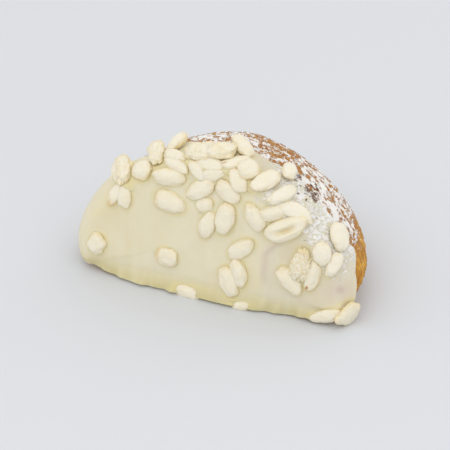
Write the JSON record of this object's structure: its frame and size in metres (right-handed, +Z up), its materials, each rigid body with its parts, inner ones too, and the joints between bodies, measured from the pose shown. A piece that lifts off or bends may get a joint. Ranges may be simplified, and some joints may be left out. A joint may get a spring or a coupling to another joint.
{
  "type": "glazed shell pastry",
  "caption": "Ridged, shell-shaped flaky pastry lying on its flat underside, its wide D-shaped mouth capped with a coat of white chocolate and its back tapering to a rounded tail.",
  "frame": {"origin": "bottom centre of the whole pastry's box, on the table", "axes": "+X across the mouth to the right, +Y from the mouth to the tail, +Z up"},
  "size_m": [0.1014, 0.0718, 0.0485],
  "materials": {
    "baked_pastry": "matt, flaky, golden brown, dusted with sugar",
    "white_chocolate": "satin, set chocolate",
    "puffed_rice": "dry, finely porous",
    "icing_sugar": "dry powder"
  },
  "bodies": {
    "root": {"pastry_shell": "baked_pastry", "chocolate_coat": "white_chocolate"}
  },
  "joints": []
}
